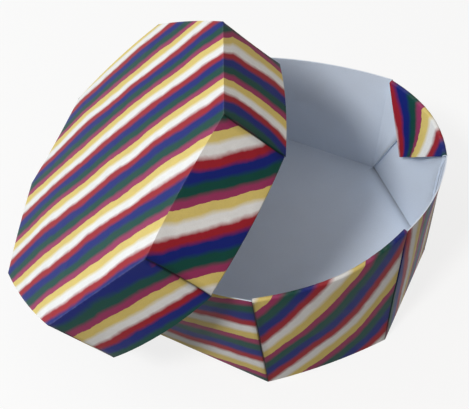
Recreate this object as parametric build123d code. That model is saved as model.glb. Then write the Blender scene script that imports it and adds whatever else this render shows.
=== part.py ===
from build123d import *
import math
import os

# Octagonal paper box with a separate lid, each folded from one square sheet.
# Millimetres, +Z up. The origin is the middle of the box's floor, on the table.
# The box's straight walls face -X, +X, -Y and +Y. Its other four walls are diagonal:
# there the corner of the sheet is turned in over the rim and holds the darts down.

# Driving dimensions
BOX_SHEET = 150.0          # side of the square that the box is folded from
BOX_SIDE = 33.0            # side of its octagonal floor
LID_SHEET = 118.0          # side of the square that the lid is folded from
LID_SIDE = 33.5            # side of its octagonal top, a little more than the box's
PAPER = 0.3                # thickness of one layer
BOX_FLAP = 16.5            # how far the turned-in corners reach down inside the box
LID_FLAP = 9.0             # the same inside the lid
FLAP_MARGIN = 0.6          # from the end of the rim to the end of a turned-in corner
TIP_ASIDE = 2.6            # how far that corner's tip stands to one side of its wall's middle
LID_TILT = 46.6            # the lid leans on the box by this angle, in degrees
LID_TURN = 24.2            # and it is turned about the vertical by this one
LID_ASIDE = -9.4           # how far its middle stands aside of the box's, along that turn
TABLE_GAP = 0.1            # from the table to the lid's lowest corner
REST_GAP = 0.3             # from the lid's inside to the corner of the rim that it rests on

# Folded by hand: how far each corner of the floor, or of the lid's top, stands outwards
# and sideways (counter-clockwise) of a regular octagon's, from -67.5 degrees on.
BOX_UNEVEN = [(1.4, 0.5)] + [(0.0, 0.0)] * 7
LID_UNEVEN = [(-2.0, -1.0), (0.3, -0.5), (0.5, -2.6), (0.7, -2.2),
              (-0.7, -1.6), (-2.6, 3.5), (-3.8, 1.5), (-2.1, -3.3)]
# And how far the fold after each corner bows out.
BOX_FOLD_BOW = [1.0, 0.0, 0.0, 0.0, 0.0, 0.0, 0.0, 0.0]
LID_FOLD_BOW = [0.5, 0.0, -1.0, 0.0, 1.0, 0.5, -0.8, 1.5]

# Springy paper: how far each corner of a rim stands outwards and sideways of the
# fold below it, in the same order, and how far the edge after each corner bows out.
BOX_SPRING = [(0.6, -4.5), (-4.0, 6.5), (1.0, 2.5), (1.0, -1.0),
              (-5.0, 2.0), (-5.5, 2.5), (3.5, 0.0), (5.0, 6.0)]
BOX_BOW = [4.0, 2.0, 3.5, 1.6, 1.0, 1.0, 2.0, 0.6]
LID_SPRING = [(1.0, 2.8), (0.0, 0.0), (0.0, 0.0), (0.0, 0.0),
              (0.0, 0.0), (1.4, 0.0), (0.0, 0.0), (2.0, 0.0)]
LID_BOW = [0.8, 1.0, 1.3, 1.8, 0.8, 0.8, 0.8, 0.8]

CORNERS = 8
STEP = 2 * math.pi / CORNERS
FIRST = -1.5 * STEP
DIAGONAL_WALLS = (0, 2, 4, 6)
DART = math.radians(22.5)  # a dart takes up half of the 45 degrees at each corner
BOTH_WAYS = 8.0            # half the length of the cutters that trim the layers


class Sheet:
    """A square of paper and how it is folded into a tray."""

    def __init__(self, size, side, flap, uneven, fold_bow, spring, bow):
        self.size = size
        self.side = side
        self.flap = flap
        self.uneven = uneven
        self.fold_bow = fold_bow
        self.spring = spring
        self.bow = bow
        self.depth = (size - side / math.tan(STEP / 2)) / 2


BOX = Sheet(BOX_SHEET, BOX_SIDE, BOX_FLAP, BOX_UNEVEN, BOX_FOLD_BOW, BOX_SPRING, BOX_BOW)
LID = Sheet(LID_SHEET, LID_SIDE, LID_FLAP, LID_UNEVEN, LID_FOLD_BOW, LID_SPRING, LID_BOW)


def directions(corner):
    angle = FIRST + corner * STEP
    outwards = Vector(math.cos(angle), math.sin(angle), 0)
    sideways = Vector(-math.sin(angle), math.cos(angle), 0)
    return outwards, sideways


def fold_corner(sheet, corner, inset=0.0, level=0.0):
    """Corner of the octagonal floor, moved in by inset from both its walls."""
    outwards, sideways = directions(corner)
    out, along = sheet.uneven[corner % CORNERS]
    radius = sheet.side / 2 / math.sin(STEP / 2) - inset / math.cos(STEP / 2)
    return outwards * (radius + out) + sideways * along + Vector(0, 0, level)


def rim_corner(sheet, corner, inset, level):
    outwards, sideways = directions(corner)
    out, along = sheet.spring[corner % CORNERS]
    return fold_corner(sheet, corner, inset, level) + outwards * out + sideways * along


def edge(start, end, bow):
    """Edge between two corners on one level: straight, or a flat arc that bows out."""
    if bow == 0:
        return Line(start, end)
    outwards = (end - start).normalized().cross(Vector(0, 0, 1))
    return ThreePointArc(start, (start + end) / 2 + outwards * bow, end)


def cup(sheet, inset, floor_level):
    """Solid between the floor's octagon and the bowed rim, moved in by inset."""
    folds = [fold_corner(sheet, k, inset, floor_level) for k in range(CORNERS + 1)]
    rims = [rim_corner(sheet, k, inset, sheet.depth) for k in range(CORNERS + 1)]
    floor = Wire([edge(folds[k], folds[k + 1], sheet.fold_bow[k]) for k in range(CORNERS)])
    rim = Wire([edge(rims[k], rims[k + 1], sheet.bow[k]) for k in range(CORNERS)])
    return Solid.make_loft([floor, rim], ruled=True)


def wall_plane(sheet, wall):
    """Plane of one wall: x along its floor fold, y up the wall, z outwards."""
    start = fold_corner(sheet, wall)
    end = fold_corner(sheet, wall + 1)
    rim = (rim_corner(sheet, wall, 0, sheet.depth) + rim_corner(sheet, wall + 1, 0, sheet.depth)) / 2
    along = (end - start).normalized()
    up = rim - (start + end) / 2
    outwards = along.cross(up - along * up.dot(along)).normalized()
    return Plane(origin=start, x_dir=along, z_dir=outwards)


def cutter(plane, points):
    """Prism across a wall, over the outline given in the wall's plane."""
    outline = plane * Polyline(*points, close=True)
    return extrude(make_face(outline), amount=BOTH_WAYS, both=True)


def folded_tray(sheet):
    """Open tray: floor, eight walls, darts laid on the diagonal walls, corners turned in."""
    outer = cup(sheet, 0, 0)
    inner = cup(sheet, PAPER, PAPER)
    under_flap = cup(sheet, 3 * PAPER, PAPER)
    inside_flap = cup(sheet, 4 * PAPER, PAPER)
    dart_layers = inner - under_flap
    flap_layer = under_flap - inside_flap
    level_band = Pos(0, 0, sheet.depth - PAPER / 2) * Box(sheet.size, sheet.size, PAPER)
    turned_edge = (inner - inside_flap) & level_band
    tray = outer - inner
    for wall in DIAGONAL_WALLS:
        plane = wall_plane(sheet, wall)
        fold_end = plane.to_local_coords(fold_corner(sheet, wall + 1))
        left = plane.to_local_coords(rim_corner(sheet, wall, 0, sheet.depth))
        right = plane.to_local_coords(rim_corner(sheet, wall + 1, 0, sheet.depth))
        top = max(left.Y, right.Y)
        above = top + PAPER
        dart = min(sheet.depth * math.tan(DART), (right.X - left.X) / 2 - FLAP_MARGIN)
        left_dart = cutter(plane, [(0, 0), (left.X + dart, above), (left.X, above)])
        right_dart = cutter(plane, [(fold_end.X, 0), (right.X, above), (right.X - dart, above)])
        ends = (left.X + FLAP_MARGIN, right.X - FLAP_MARGIN)
        tip = ((ends[0] + ends[1]) / 2 + TIP_ASIDE, top - sheet.flap)
        corner = cutter(plane, [(ends[0], above), tip, (ends[1], above)])
        turned = cutter(plane, [(ends[0], top / 2), (ends[1], top / 2), (ends[1], above), (ends[0], above)])
        tray += dart_layers & left_dart
        tray += dart_layers & right_dart
        tray += flap_layer & corner
        tray += turned_edge & turned
    return tray


def box_base():
    return folded_tray(BOX)


def lid_centre():
    """Middle of the lid's top: its inside rests on corner 6 of the box's rim, corner 5 of
    its own rim stands on the table."""
    tilt = math.radians(LID_TILT)
    turn = math.radians(LID_TURN)
    ahead = Vector(math.cos(turn), math.sin(turn), 0)
    aside = Vector(-math.sin(turn), math.cos(turn), 0)
    normal = Vector(0, 0, math.cos(tilt)) - ahead * math.sin(tilt)
    lowest = rim_corner(LID, 5, 0, LID.depth)
    height = TABLE_GAP - lowest.X * math.sin(tilt) + LID.depth * math.cos(tilt)
    rest = rim_corner(BOX, 6, 0, BOX.depth).dot(normal) + PAPER + REST_GAP
    distance = (height * math.cos(tilt) - rest) / math.sin(tilt)
    return ahead * distance + aside * LID_ASIDE + Vector(0, 0, height)


def box_lid():
    """The lid is a shallower tray, upside down, leaning on the box with one corner on the table."""
    return Pos(*lid_centre()) * Rot(0, 0, LID_TURN) * Rot(0, -LID_TILT, 0) * Rot(180, 0, 0) * folded_tray(LID)


def write_parts():
    os.makedirs("parts", exist_ok=True)
    for name, make in (("box_base", box_base), ("box_lid", box_lid)):
        export_step(make(), f"parts/{name}.step")


write_parts()
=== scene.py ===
import math

import bpy
from mathutils import Matrix, Vector, noise


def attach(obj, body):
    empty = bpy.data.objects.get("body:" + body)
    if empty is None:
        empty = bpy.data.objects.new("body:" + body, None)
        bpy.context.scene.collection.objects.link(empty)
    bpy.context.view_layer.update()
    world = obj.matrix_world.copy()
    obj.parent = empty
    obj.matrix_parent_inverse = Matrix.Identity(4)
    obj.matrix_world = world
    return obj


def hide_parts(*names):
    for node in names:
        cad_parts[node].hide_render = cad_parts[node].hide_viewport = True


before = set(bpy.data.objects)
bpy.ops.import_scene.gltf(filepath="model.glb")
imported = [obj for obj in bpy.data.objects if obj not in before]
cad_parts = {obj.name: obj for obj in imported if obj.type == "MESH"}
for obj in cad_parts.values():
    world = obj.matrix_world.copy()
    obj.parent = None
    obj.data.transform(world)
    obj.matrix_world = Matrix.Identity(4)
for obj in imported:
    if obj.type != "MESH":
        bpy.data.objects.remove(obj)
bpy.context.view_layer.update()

# An octagonal paper box and its leaning lid, each folded from one square of striped paper.
# Shapes are worked out in millimetres, as in the part's source, and the meshes are in metres.
# Corner k of a tray stands at the angle FIRST + k * STEP, and wall k runs from it to corner k + 1.
# A point of a wall is given by s, its share of the way along, and t, its share of the way up.
# A point of a floor is given by s and by r, its share of the way out to the fold.
# An inset is how far inside the paper's outer face a point lies.

MM = 0.001
CORNERS = 8
STEP = 2 * math.pi / CORNERS
FIRST = -1.5 * STEP

# Paper
PAPER = 0.3                # thickness of one layer
FOLD = 0.6                 # radius of a turned-over rim
SLIT = 0.4                 # how deep the outside is drawn in where two walls meet
SLIT_GROWTH = 8            # how fast it deepens on the way up, and ends below the rim
SLIT_END = 0.97
RIPPLE_LENGTH = 19         # about how long the waves of hand-folded paper are
RIPPLE_PLACE = Vector((7, 3, 11))        # where in the noise they are read
RIPPLE_GROWTH = 2.5        # how fast they grow from nothing at the fold
RIPPLE_AT_RIM = 0.6        # what is left of them from RIM_START up
RIM_START = 0.9
RIPPLE_UPWARDS = 0.3       # what they move up or down, as a share of what they move aside
RIPPLE_SEED = 8            # without a seed, Blender's noise differs from run to run

# Floor, which domes, and swells in front of the wall whose inside the photograph shows
DOME_POWER = 2.2
SHOWN_WALL = 2
SWELL_SIDE = math.radians(52)            # where it is highest, and its width, as angles
SWELL_WIDTH = 0.5
SWELL_RISE = 4             # powers of r with which it rises, and drops to the fold again
SWELL_DROP = 10
SHADE_START = 0.9          # from here to the fold below that wall, painted shade darkens the floor

# Turned-in corners and darts
RIDGE_TOP = 0.6            # where along the rim a corner's soft ridge starts
RIDGE_SLANT = 0.7          # how far it runs aside on its way down
RIDGE_RISE = 0.3           # the ridge is whole from this far below the rim
RIDGE_BEFORE = 0.16        # its width on either side
RIDGE_AFTER = 0.08
DART_BACK = PAPER + 0.03                 # inset of a dart's back, just off the wall
DART_FRONT = 3 * PAPER - 0.06            # and of its front, nearly two layers on
DART_TOP = 0.985           # a dart ends this far up to the fold of the rim
DART_LARGEST = 0.48        # most of a wall that one dart may cover
DART_GAPES = {"left": 0.15, "right": 0.5}          # how far its open edge gapes
GAPE_GROWTH = 1.4          # it gapes most about a third of the way up, and not near the rim
SHADOW_START = 4           # from this column on, painted shadow darkens a right dart towards its open edge

# Where the rows of points lie, and how many steps the bent parts have
ACROSS = [0.0, 0.012, 0.05, 0.12, 0.2, 0.3, 0.4, 0.5, 0.6, 0.7, 0.8, 0.88, 0.95, 0.988, 1.0]
UP = [0.0, 0.015, 0.06, 0.15, 0.28, 0.42, 0.56, 0.7, 0.84, 0.95]
RINGS = [0.0, 0.25, 0.5, 0.7, 0.85, 0.94, 0.985, 1.0]
ROLL_STEPS = 8
FLAP_STEPS = 12
DART_STEPS = 10
DART_COLUMNS = 6

# The two faces of the paper, as material slots, and a point that has no crease and no painted shade
PRINT = 0
WHITE = 1
PLAIN = (0.0, 0.0)
MARK_FALL = 60             # how fast the mark of a crease or of painted shade fades beside it
PLACES_PER_MM = 2000       # points that agree to this share of a millimetre are one
SHARP_FOLD = math.radians(28)            # a fold sharper than this keeps its edge

noise.seed_set(RIPPLE_SEED)


def mix(a, b, share):
    return a * (1 - share) + b * share


def directions(k):
    """Outwards and sideways (counter-clockwise) at corner k."""
    angle = FIRST + k * STEP
    outwards = Vector((math.cos(angle), math.sin(angle), 0))
    sideways = Vector((-math.sin(angle), math.cos(angle), 0))
    return outwards, sideways


def bowed(start, end, s, bow):
    """A point of an edge that bows out between two corners."""
    outwards = (end - start).normalized().cross(Vector((0, 0, 1)))
    return mix(start, end, s) + outwards * bow * 4 * s * (1 - s)


def stripe(factors, s, up):
    """How many repeats of the print lie before a point: an even slope or a gentle curve."""
    along = s - 0.5
    terms = (1, along, up, along * up, along ** 2, up * up)
    return sum(factor * term for factor, term in zip(factors, terms))


# The folded sheets

class Tray:
    """A square sheet folded into an open octagonal tray, before it is put in its place.

    size and side are the sides of the flat square and of the octagonal floor.
    uneven and spring give how far each corner of the floor stands outwards and sideways of a
    regular octagon's, and each corner of the rim of the fold below it. fold_bow and bow give
    how far the fold and the rim after each corner bow out. dome is how high the floor's middle
    stands, swell how high its rise before the shown wall is, and ripple how far the walls wave.
    period is how long one repeat of the print is, negative where it runs towards smaller y, and
    repeat 0 starts at y = start on the flat sheet. prints gives the stripe factors of the walls
    whose print was fitted; it takes over from the floor's over the share join of the way up.
    """

    def __init__(self, size, side, uneven, fold_bow, spring, bow, dome, ripple,
                 period, start, prints, join=0.0, swell=0.0):
        self.size = size
        self.side = side
        self.uneven = uneven
        self.fold_bow = fold_bow
        self.spring = spring
        self.bow = bow
        self.dome = dome
        self.swell = swell
        self.ripple = ripple
        self.period = period
        self.start = start
        self.prints = prints
        self.join = join
        self.depth = (size - side / math.tan(STEP / 2)) / 2
        self.centre = sum((self.corner(k) for k in range(CORNERS)), Vector()) / CORNERS
        self.top = 1 - FOLD / self.depth     # how far up a wall goes before its rim turns over

    def corner(self, k, inset=0.0, level=0.0):
        """Corner of the floor."""
        outwards, sideways = directions(k)
        out, along = self.uneven[k % CORNERS]
        radius = self.side / 2 / math.sin(STEP / 2) - inset / math.cos(STEP / 2)
        return outwards * (radius + out) + sideways * along + Vector((0, 0, level))

    def rim(self, k, inset=0.0):
        """Corner of the rim."""
        outwards, sideways = directions(k)
        out, along = self.spring[k % CORNERS]
        return self.corner(k, inset, self.depth) + (outwards * out + sideways * along)

    def fold(self, k, s, inset=0.0, level=0.0):
        """A point of the fold below wall k."""
        start, end = self.corner(k, inset, level), self.corner(k + 1, inset, level)
        return bowed(start, end, s, self.fold_bow[k])

    def smooth_wall(self, k, s, t, inset=0.0):
        """A point on wall k without its ripple."""
        low = self.fold(k, s, inset, min(inset, PAPER))
        return mix(low, bowed(self.rim(k, inset), self.rim(k + 1, inset), s, self.bow[k]), t)

    def wall(self, k, s, t, inset=0.0):
        """A point on wall k, with its ripple and the slits at its ends."""
        place = self.smooth_wall(k, s, min(t, 1))
        amount = self.ripple * min(1, RIPPLE_GROWTH * t) * (1 if t < RIM_START else RIPPLE_AT_RIM)
        wave = noise.noise_vector(place / RIPPLE_LENGTH + RIPPLE_PLACE) * amount
        wave.z *= RIPPLE_UPWARDS
        if s in (0, 1):
            outwards, _ = directions(k + s)
            drawn = SLIT * min(1, SLIT_GROWTH * t, max(0, SLIT_GROWTH * (SLIT_END - t)))
            wave -= outwards * drawn
        return self.smooth_wall(k, s, t, inset) + wave

    def floor(self, k, s, r, inset=0.0):
        place = mix(self.centre, self.fold(k, s, inset), r)
        place.z = inset + self.dome * (1 - r ** DOME_POWER)
        if self.swell:
            aside = math.atan2(place.y, place.x) - SWELL_SIDE
            rise = self.swell * r ** SWELL_RISE * (1 - r ** SWELL_DROP)
            place.z += rise * math.exp(-(aside / SWELL_WIDTH) ** 2)
        return place

    def flat_wall(self, k, s, t, over=0.0):
        """Where a point of wall k lies on the flat sheet; over goes on past the rim."""
        start, end = self.corner(k), self.corner(k + 1)
        along = (end - start).normalized()
        place = start + along * (self.smooth_wall(k, s, t) - start).dot(along)
        place += along.cross(Vector((0, 0, 1))) * (t * self.depth + over)
        if k in self.prints:
            turns = stripe(self.prints[k], s, t + over / self.depth)
            share = min(1.0, t / self.join) if self.join else 1.0
            place.y = mix(place.y, turns * self.period + self.start, share)
        return place.x, place.y

    def flat_floor(self, k, s, r):
        place = self.floor(k, s, r)
        return place.x, place.y

    def uv(self, x, y):
        """Place on the flat sheet as a share of its side, counted from the left and from start."""
        way = math.copysign(1, self.period)
        return (x + self.size / 2) / self.size, way * (y - self.start) / self.size


class Flap:
    """The corner of a sheet that is turned in over the rim of a diagonal wall.

    tip_s, tip_t and tip_inset say where on that wall its tip lies, and ridge is how high its
    soft ridge stands. flat gives the flat places of this wall and corner, where they have
    their own.
    """

    def __init__(self, tip_s, tip_t, tip_inset, ridge=0.0, flat=None):
        self.tip_s = tip_s
        self.tip_t = tip_t
        self.tip_inset = tip_inset
        self.ridge = ridge
        self.flat = flat

    def lift(self, s, t):
        """How far the ridge, which runs aslant, lifts a point of the corner off the wall."""
        off = s - RIDGE_TOP + RIDGE_SLANT * (1 - t)
        width = RIDGE_BEFORE if off < 0 else RIDGE_AFTER
        return self.ridge * min(1, (1 - t) / RIDGE_RISE) * math.exp(-(off / width) ** 2)


class Paper:
    """Collects the faces of one folded sheet; points that meet are joined.

    A corner of a face is (place, place on the flat sheet, (crease, painted shade)), and the last two
    say how much of a crease and of painted shade is there, from 0 to 1.
    """

    def __init__(self):
        self.index = {}
        self.points = []
        self.marks = []
        self.faces = []
        self.flat = []
        self.sides = []

    def point(self, place, marks):
        key = tuple(round(c * PLACES_PER_MM) for c in place)
        if key not in self.index:
            self.index[key] = len(self.points)
            self.points.append(place)
            self.marks.append(marks)
        number = self.index[key]
        self.marks[number] = tuple(max(pair) for pair in zip(self.marks[number], marks))
        return number

    def face(self, corners, side):
        numbers, flat = [], []
        for place, flat_place, marks in corners:
            number = self.point(place, marks)
            if number not in numbers:
                numbers.append(number)
                flat.append(flat_place)
        if len(numbers) > 2:
            self.faces.append(numbers)
            self.flat.append(flat)
            self.sides.append(side)

    def surface(self, rows, side, turned):
        """Faces between neighbouring rows of corners, in that material slot."""
        for low, high in zip(rows, rows[1:]):
            for n in range(len(low) - 1):
                corners = [low[n], low[n + 1], high[n + 1], high[n]]
                self.face(corners[::-1] if turned else corners, side)

    def slab(self, outer, inner, outer_side, inner_side, edges, turned=False):
        """A layer of paper between two grids of points, closed along the named edges:
        l and r are the ends of the rows, and t is the last row."""
        self.surface(outer, outer_side, turned)
        self.surface(inner, inner_side, not turned)
        lines = {
            "l": ([row[0] for row in outer], [row[0] for row in inner], False),
            "r": ([row[-1] for row in outer], [row[-1] for row in inner], True),
            "t": (outer[-1], inner[-1], False),
        }
        for name in edges:
            first, second, flip = lines[name]
            self.surface([first, second], WHITE, turned != flip)


def near(share, at):
    """1 at that share, falling to 0 close beside it."""
    return max(0.0, 1 - abs(share - at) * MARK_FALL)


def floor_row(tray, k, r, inset):
    # Painted shade darkens the floor towards the fold below the shown wall
    shaded = tray.swell and k == SHOWN_WALL
    shade = max(0.0, (r - SHADE_START) / (1 - SHADE_START)) if shaded else 0.0
    marks = near(r, 1), shade
    return [(tray.floor(k, s, r, inset), tray.flat_floor(k, s, r), marks) for s in ACROSS]


def wall_row(tray, k, t, inset, flat):
    row = []
    for s in ACROSS:
        # Painted shade darkens both faces along the slit where two walls meet
        marks = near(t, 0), max(near(s, 0), near(s, 1))
        row.append((tray.wall(k, s, t, inset), flat(k, s, t), marks))
    return row


def fold_floor(tray, paper, k):
    """The part of the floor between its middle and wall k."""
    outer = [floor_row(tray, k, r, 0) for r in RINGS]
    inner = [floor_row(tray, k, r, PAPER) for r in RINGS]
    paper.slab(outer, inner, PRINT, WHITE, "")


def fold_straight_wall(tray, paper, k):
    """A wall that ends at the edge of the sheet; it is closed above the neighbours' rims too."""
    ups = [t * tray.top / UP[-1] for t in UP] + [1.0]
    outer = [wall_row(tray, k, t, 0, tray.flat_wall) for t in ups]
    inner = [wall_row(tray, k, t, PAPER, tray.flat_wall) for t in ups]
    paper.slab(outer, inner, PRINT, WHITE, "t")
    for end in (0, -1):
        ends = [[row[end] for row in outer[-2:]], [row[end] for row in inner[-2:]]]
        paper.surface(ends, WHITE, end == -1)


def fold_diagonal_wall(tray, paper, k, flap):
    """A wall whose rim turns over into a corner of the sheet, with a dart under each end."""
    flat = flap.flat or tray.flat_wall
    ups = [t * tray.top / UP[-1] for t in UP]
    outer = [wall_row(tray, k, t, 0, flat) for t in ups]
    inner = [wall_row(tray, k, t, PAPER, flat) for t in ups]
    paper.slab(outer, inner, PRINT, WHITE, "")
    turn_in_corner(tray, paper, k, flap, flat, outer[-1], inner[-1])
    for side in ("left", "right"):
        fold_dart(tray, paper, k, flat, side)


def turn_in_corner(tray, paper, k, flap, flat, outer_edge, inner_edge):
    """Rolls the rim over and carries on down to the corner's tip."""
    top = tray.top
    tight = FOLD - PAPER
    outside, inside = [outer_edge], [inner_edge]
    for n in range(1, ROLL_STEPS):
        turn = math.pi * n / ROLL_STEPS
        rise, reach = math.sin(turn) / tray.depth, math.cos(turn)
        over = FOLD * turn
        marks = math.sin(turn), 0.0
        outside.append([(tray.wall(k, s, top + FOLD * rise, FOLD * (1 - reach)),
                         flat(k, s, top, over), marks) for s in ACROSS])
        inside.append([(tray.wall(k, s, top + tight * rise, FOLD - tight * reach),
                        flat(k, s, top, over), PLAIN) for s in ACROSS])
    start = [tray.wall(k, s, top, 2 * FOLD) for s in ACROSS]
    tip = tray.wall(k, flap.tip_s, flap.tip_t, flap.tip_inset)
    for n in range(FLAP_STEPS + 1):
        share = n / FLAP_STEPS
        t = top + (flap.tip_t - top) * share
        over = FOLD * math.pi + (top - t) * tray.depth
        front, back = [], []
        for s_at_rim, first in zip(ACROSS, start):
            s = s_at_rim + (flap.tip_s - s_at_rim) * share
            out = (tray.smooth_wall(k, s, t) - tray.smooth_wall(k, s, t, 1)).normalized()
            place = mix(first, tip, share) - out * flap.lift(s, t)
            front.append((place, flat(k, s, top, over), PLAIN))
            back.append((place + out * PAPER, flat(k, s, top, over), PLAIN))
        outside.append(front)
        inside.append(back)
    paper.slab(outside, inside, PRINT, WHITE, "lr")


def fold_dart(tray, paper, k, flat, side):
    """The spare paper of a corner, folded double and laid against the wall's inside."""
    left = side == "left"
    widest = min(tray.depth * math.tan(STEP / 2) / tray.side, DART_LARGEST)
    columns = range(DART_COLUMNS + 1)
    # On the right, painted shadow darkens the dart towards its open edge
    shaded = DART_COLUMNS - SHADOW_START
    marks = [(0.0, 0.0 if left else max(0, a - SHADOW_START) / shaded) for a in columns]
    front, back = [], []
    for n in range(DART_STEPS + 1):
        t = tray.top * DART_TOP * n / DART_STEPS
        shares = [widest * t * a / DART_COLUMNS for a in columns]
        if not left:
            shares = [1 - s for s in shares]
        gape = math.sin(math.pi * min(1, t * GAPE_GROWTH))
        lifts = [DART_GAPES[side] * (a / DART_COLUMNS) ** 2 * gape for a in columns]
        back.append([(tray.wall(k, s, t, DART_BACK), flat(k, s, t), PLAIN) for s in shares])
        front.append([(tray.wall(k, s, t, DART_FRONT + lift), flat(k, s, t), mark)
                      for s, lift, mark in zip(shares, lifts, marks)])
    paper.slab(back, front, WHITE, WHITE, "lrt", turned=not left)


def folded_piece(name, tray, flaps, place, materials):
    """The mesh of one folded sheet; flaps gives the turned-in corner of each diagonal wall."""
    paper = Paper()
    for k in range(CORNERS):
        fold_floor(tray, paper, k)
        if k in flaps:
            fold_diagonal_wall(tray, paper, k, flaps[k])
        else:
            fold_straight_wall(tray, paper, k)
    mesh = bpy.data.meshes.new(name)
    mesh.from_pydata([place @ point * MM for point in paper.points], [], paper.faces)
    uv = mesh.uv_layers.new(name="sheet")
    flat_places = [flat_place for flat in paper.flat for flat_place in flat]
    for loop, flat_place in zip(uv.data, flat_places):
        loop.uv = tray.uv(*flat_place)
    for number, kind in enumerate(("crease", "painted_shade")):
        values = mesh.attributes.new(kind, "FLOAT", "POINT").data
        for value, marks in zip(values, paper.marks):
            value.value = marks[number]
    for material in materials:
        mesh.materials.append(material)
    for polygon, side in zip(mesh.polygons, paper.sides):
        polygon.material_index = side
        polygon.use_smooth = True
    mesh.set_sharp_from_angle(angle=SHARP_FOLD)
    piece = bpy.data.objects.new(name, mesh)
    bpy.context.scene.collection.objects.link(piece)
    return piece


# Materials

def srgb(red, green, blue):
    values = []
    for value in (red, green, blue):
        value /= 255
        values.append(value / 12.92 if value <= 0.04045 else ((value + 0.055) / 1.055) ** 2.4)
    return (*values, 1.0)


class Nodes:
    """Builds the nodes of one material."""

    def __init__(self, name):
        self.material = bpy.data.materials.new(name)
        self.material.use_nodes = True
        self.tree = self.material.node_tree
        self.tree.nodes.clear()
        self.output = self.tree.nodes.new("ShaderNodeOutputMaterial")

    def add(self, kind, inputs=None, **settings):
        node = self.tree.nodes.new("ShaderNode" + kind)
        for key, value in settings.items():
            setattr(node, key, value)
        for key, value in (inputs or {}).items():
            if isinstance(value, bpy.types.NodeSocket):
                self.tree.links.new(value, node.inputs[key])
            else:
                node.inputs[key].default_value = value
        return node

    def math(self, operation, a, b=0.0, c=0.0):
        return self.add("Math", {0: a, 1: b, 2: c}, operation=operation).outputs[0]

    def between(self, share, low, high):
        """low where share is 0, and high where it is 1."""
        return self.math("MULTIPLY_ADD", share, high - low, low)

    def grey(self, value):
        return self.add("CombineColor", {0: value, 1: value, 2: value}).outputs[0]

    def mix_color(self, share, a, b, blend="MIX"):
        node = self.add("Mix", {0: share, 6: a, 7: b}, data_type="RGBA", blend_type=blend)
        return node.outputs[2]

    def noise(self, vector, scale, detail, roughness=0.5):
        inputs = {"Vector": vector, "Scale": scale, "Detail": detail, "Roughness": roughness}
        return self.add("TexNoise", inputs).outputs["Fac"]

    def mark(self, name):
        return self.add("Attribute", attribute_name=name).outputs["Fac"]

    def surface(self, shader):
        self.tree.links.new(shader.outputs[0], self.output.inputs[0])
        return self.material

    def paper(self, color, rough, height, strength, gloss):
        bump = self.add("Bump", {"Strength": strength, "Distance": 0.2 * MM, "Height": height})
        shader = self.add("BsdfPrincipled", {"Base Color": color, "Roughness": rough,
                                             "Normal": bump.outputs[0], "Specular IOR Level": gloss})
        return self.surface(shader)


# One repeat of the print: where each stripe ends, as a share of the repeat, and its ink
STRIPES = [
    (0.125, srgb(154, 54, 96)),      # pink
    (0.305, srgb(17, 72, 63)),       # green
    (0.49, srgb(21, 35, 118)),       # blue
    (0.65, srgb(160, 34, 46)),       # red
    (0.83, srgb(237, 237, 236)),     # white
    (1.0, srgb(222, 199, 116)),      # yellow
]
SOFT_EDGE = 0.04           # half the width over which one ink runs into the next
WORN_INK = srgb(232, 226, 214)
WORN_MOST = 0.05           # how much of it shows on a crease at most
WHITE_PAPER = srgb(230, 240, 254)
DRIFT = 1.4                # how far the stripes wander, in millimetres
RAGGED = 0.45              # and how uneven their edges are


def stripe_ramp(nodes, phase):
    """The inks in turn, hard at the two ends of the repeat and soft between two inks."""
    stops = []
    start = 0.0
    for end, ink in STRIPES:
        stops.append((start + (SOFT_EDGE if start else 0.0), ink))
        stops.append((end - (SOFT_EDGE if end < 1 else 0.0), ink))
        start = end
    ramp = nodes.add("ValToRGB", {0: phase})
    elements = ramp.color_ramp.elements
    elements[0].position, elements[0].color = stops[0]
    elements[1].position, elements[1].color = stops[-1]
    for position, ink in stops[1:-1]:
        elements.new(position).color = ink
    return ramp.outputs[0]


def printed(name, tray):
    """Printed face: a point's ink follows from where it lies on the flat sheet."""
    nodes = Nodes(name)
    size = tray.size         # a noise scale of size times 0.35 has 0.35 patches in a millimetre
    flat = nodes.add("UVMap", uv_map="sheet").outputs[0]
    up = nodes.add("SeparateXYZ", {0: flat}).outputs[1]
    drift = nodes.between(nodes.noise(flat, size / 15, 1.5), -DRIFT / size, DRIFT / size)
    ragged = nodes.between(nodes.noise(flat, size * 0.35, 2.5), -RAGGED / size, RAGGED / size)
    place = nodes.math("ADD", nodes.math("ADD", up, drift), ragged)
    phase = nodes.math("FRACT", nodes.math("MULTIPLY", place, size / abs(tray.period)))
    mottle = nodes.noise(flat, size * 0.35, 3.0, 0.6)
    grain = nodes.noise(flat, size * 3.2, 2.0, 0.6)
    light = nodes.math("MULTIPLY", nodes.between(mottle, 0.89, 1.11), nodes.between(grain, 0.92, 1.08))
    # Painted shade, darkest on the slits between walls and on the floor's fold below the shown wall
    light = nodes.math("MULTIPLY", light, nodes.between(nodes.mark("painted_shade"), 1.0, 0.15))
    ink = nodes.mix_color(1.0, stripe_ramp(nodes, phase), nodes.grey(light), "MULTIPLY")
    patchy = nodes.between(nodes.noise(flat, size * 0.9, 3.0), -0.05, 0.11)
    worn = nodes.math("MULTIPLY", nodes.mark("crease"), patchy)
    worn = nodes.add("Clamp", {0: worn, 1: 0.0, 2: WORN_MOST}).outputs[0]
    color = nodes.mix_color(worn, ink, WORN_INK)
    height = nodes.math("ADD", nodes.math("MULTIPLY", grain, 0.5), mottle)
    return nodes.paper(color, nodes.between(mottle, 0.42, 0.58), height, strength=0.18, gloss=0.15)


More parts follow.
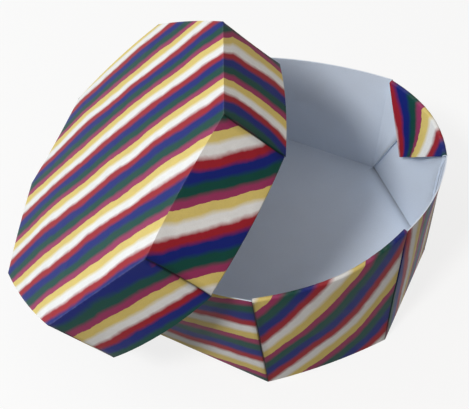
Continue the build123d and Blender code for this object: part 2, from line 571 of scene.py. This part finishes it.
def unprinted(name, tray):
    """White face of the paper and its cut edges: fine fibres, a little unevenness and painted shade.
    """
    nodes = Nodes(name)
    flat = nodes.add("UVMap", uv_map="sheet").outputs[0]
    fibre = nodes.noise(flat, tray.size * 2.4, 4.0, 0.65)
    cloud = nodes.noise(flat, tray.size * 0.12, 2.0)
    light = nodes.math("MULTIPLY", nodes.between(fibre, 0.93, 1.01), nodes.between(cloud, 0.97, 1.03))
    painted_shade = nodes.mark("painted_shade")
    # Painted shade, narrowed by squaring: on the slits between walls, the floor's fold below the shown
    # wall and a right dart's open edge
    light = nodes.math("MULTIPLY", light, nodes.between(nodes.math("MULTIPLY", painted_shade, painted_shade), 1.0, 0.55))
    color = nodes.mix_color(1.0, WHITE_PAPER, nodes.grey(light), "MULTIPLY")
    return nodes.paper(color, nodes.between(cloud, 0.62, 0.72), fibre, strength=0.25, gloss=0.25)


# The box

BOX = Tray(
    size=150.0,
    side=33.0,
    uneven=[(1.4, 0.5)] + [(0.0, 0.0)] * 7,
    fold_bow=[1.0] + [0.0] * 7,
    spring=[(0.6, -4.5), (-4.0, 6.5), (1.0, 2.5), (1.0, -1.0),
            (-5.0, 2.0), (-5.5, 2.5), (3.5, 0.0), (5.0, 6.0)],
    bow=[4.0, 2.0, 3.5, 1.6, 1.0, 1.0, 2.0, 0.6],
    dome=0.9,
    swell=2.4,
    ripple=0.35,
    period=15.0,
    start=-75.0,
    prints={0: (3.26, 1.15, -1.825, 0.537, -0.22, 0.293),
            1: (5.14, 2.2, 0.34, -0.32),
            7: (2.039, 0.388, -2.165, -0.119)},
)
SHOWN_FLAP_STRIPES = (8.8785, 2.6921, -0.9845, -1.3861)
SHOWN_WALL_STRIPES = (0.354, -0.247)     # what its outside is moved by, to meet them at the rim


def shown_flat(k, s, t, over=0.0):
    """Flat place on the wall whose inside shows: its corner's print fans out from the rim."""
    x, y = BOX.flat_wall(k, s, t, over)
    if over:
        down = max(0.0, over - FOLD * math.pi) / BOX.depth
        return x, BOX.period * stripe(SHOWN_FLAP_STRIPES, s, 1 - down) + BOX.start
    return x, y + BOX.period * t * t * stripe(SHOWN_WALL_STRIPES, s, 0)


box_flaps = {k: Flap(tip_s=0.58, tip_t=0.53, tip_inset=1.8) for k in (0, 4, 6)}
box_flaps[SHOWN_WALL] = Flap(tip_s=0.62, tip_t=0.48, tip_inset=2.6, ridge=1.2, flat=shown_flat)
box = folded_piece("box_paper", BOX, box_flaps, Matrix.Identity(4),
                   [printed("Printed paper, box", BOX), unprinted("White paper, box", BOX)])
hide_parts("box_base")
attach(box, "root")

# The lid, upside down and leaning on the box

LID = Tray(
    size=118.0,
    side=33.5,
    uneven=[(-2.0, -1.0), (0.3, -0.5), (0.5, -2.6), (0.7, -2.2),
            (-0.7, -1.6), (-2.6, 3.5), (-3.8, 1.5), (-2.1, -3.3)],
    fold_bow=[0.5, 0.0, -1.0, 0.0, 1.0, 0.5, -0.8, 1.5],
    spring=[(1.0, 2.8), (0.0, 0.0), (0.0, 0.0), (0.0, 0.0),
            (0.0, 0.0), (1.4, 0.0), (0.0, 0.0), (2.0, 0.0)],
    bow=[0.8, 1.0, 1.3, 1.8, 0.8, 0.8, 0.8, 0.8],
    dome=-1.6,
    ripple=0.25,
    period=-14.4,
    start=4.21 * 14.4,
    prints={1: (4.241, -2.067, -0.197, 0.120, -0.222, 0.276),
            2: (2.328, -1.741, -0.820, 0.065),
            3: (1.473, -0.268, -1.136, 0.194, 0.194, -0.149)},
    join=0.15,
)
LID_TILT = math.radians(46.6)
LID_TURN = math.radians(24.2)
LID_ASIDE = -9.4           # how far its middle stands aside of the box's, along that turn
LOW_CORNER = 5             # of the lid's rim, which stands on the table
REST_CORNER = 6            # of the box's rim, on which the lid's inside rests
TABLE_GAP = 0.1
REST_GAP = 0.3


def lid_place():
    """Where the lid stands: first turned upside down, then tilted, turned and moved."""
    ahead = Vector((math.cos(LID_TURN), math.sin(LID_TURN), 0))
    aside = Vector((-math.sin(LID_TURN), math.cos(LID_TURN), 0))
    normal = Vector((0, 0, math.cos(LID_TILT))) - ahead * math.sin(LID_TILT)
    height = TABLE_GAP - LID.rim(LOW_CORNER).x * math.sin(LID_TILT) + LID.depth * math.cos(LID_TILT)
    rest = BOX.rim(REST_CORNER).dot(normal) + PAPER + REST_GAP
    distance = (height * math.cos(LID_TILT) - rest) / math.sin(LID_TILT)
    centre = ahead * distance + aside * LID_ASIDE + Vector((0, 0, height))
    return (Matrix.Translation(centre) @ Matrix.Rotation(LID_TURN, 4, "Z")
            @ Matrix.Rotation(-LID_TILT, 4, "Y") @ Matrix.Rotation(math.pi, 4, "X"))


lid_flaps = {k: Flap(tip_s=0.58, tip_t=0.5, tip_inset=1.6) for k in (0, 2, 4, 6)}
lid = folded_piece("lid_paper", LID, lid_flaps, lid_place(),
                   [printed("Printed paper, lid", LID), unprinted("White paper, lid", LID)])
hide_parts("box_lid")
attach(lid, "root")

# Table and room

TABLE_SEEN = 0.9           # its tone where the camera or a mirror shows it
TABLE_UNSEEN = 0.08        # and where it only throws light back on the object
TABLE_GLOW = 0.8           # how much of what is seen is its own white


def table_material():
    """White behind the object, and dark where it would light the object from below."""
    nodes = Nodes("Pale table")
    path = nodes.add("LightPath").outputs
    seen = nodes.math("MAXIMUM", path["Is Camera Ray"], path["Is Glossy Ray"])
    seen = nodes.math("MAXIMUM", seen, path["Is Transmission Ray"])
    glow = nodes.add("Emission", {"Color": (1.0, 1.0, 1.0, 1.0), "Strength": 1.0})
    tone = nodes.between(seen, TABLE_UNSEEN, TABLE_SEEN)
    lit = nodes.add("BsdfDiffuse", {"Color": nodes.grey(tone)})
    share = nodes.math("MULTIPLY", seen, TABLE_GLOW)
    return nodes.surface(nodes.add("MixShader", {0: share, 1: lit.outputs[0], 2: glow.outputs[0]}))


table_mesh = bpy.data.meshes.new("table")
table_mesh.from_pydata([(-3, -3, 0), (3, -3, 0), (3, 3, 0), (-3, 3, 0)], [], [(0, 1, 2, 3)])
table_mesh.materials.append(table_material())
table = bpy.data.objects.new("table", table_mesh)
bpy.context.scene.collection.objects.link(table)

room = bpy.data.worlds.new("Room")
bpy.context.scene.world = room
room.use_nodes = True
sky = room.node_tree.nodes["Background"].inputs
sky["Color"].default_value = (1.0, 0.93, 0.85, 1.0)
sky["Strength"].default_value = 0.36

# Lamps and camera

LAMP_TARGET = Vector((0, 0, 0.03))
LAMP_DISTANCE = 0.8
PHOTO_WIDTH = 469
SENSOR = 36.0
FOCAL_PIXELS = 1000        # the fitted camera's focal length, in pixels of the photograph
CAMERA_PLACE = Vector((65.5, -162.9, 218.7)) * MM
CAMERA_DOWN = 49.06        # how far it looks down and to the left, in degrees
CAMERA_LEFT = 25.17


def lamp(name, direction, size, power, color=(1.0, 1.0, 1.0)):
    """A round soft lamp, in that direction from the object."""
    data = bpy.data.lights.new(name, "AREA")
    data.shape = "DISK"
    data.size = size
    data.energy = power
    data.color = color
    light = bpy.data.objects.new(name, data)
    light.location = LAMP_TARGET + Vector(direction).normalized() * LAMP_DISTANCE
    light.rotation_euler = Vector(direction).to_track_quat("Z", "Y").to_euler()
    bpy.context.scene.collection.objects.link(light)


lamp("Key", (-0.18, -0.62, 0.76), size=0.16, power=3.4)
lamp("Side", (-0.93, -0.1, 0.3), size=0.6, power=2.6, color=(0.8, 0.93, 1.0))

camera_data = bpy.data.cameras.new("Camera")
camera_data.sensor_width = SENSOR
camera_data.lens = SENSOR * FOCAL_PIXELS / PHOTO_WIDTH
camera = bpy.data.objects.new("Camera", camera_data)
camera.location = CAMERA_PLACE
camera.rotation_euler = (math.radians(90 - CAMERA_DOWN), 0, math.radians(CAMERA_LEFT))
bpy.context.scene.collection.objects.link(camera)
bpy.context.scene.camera = camera
bpy.context.scene.view_settings.view_transform = "Standard"
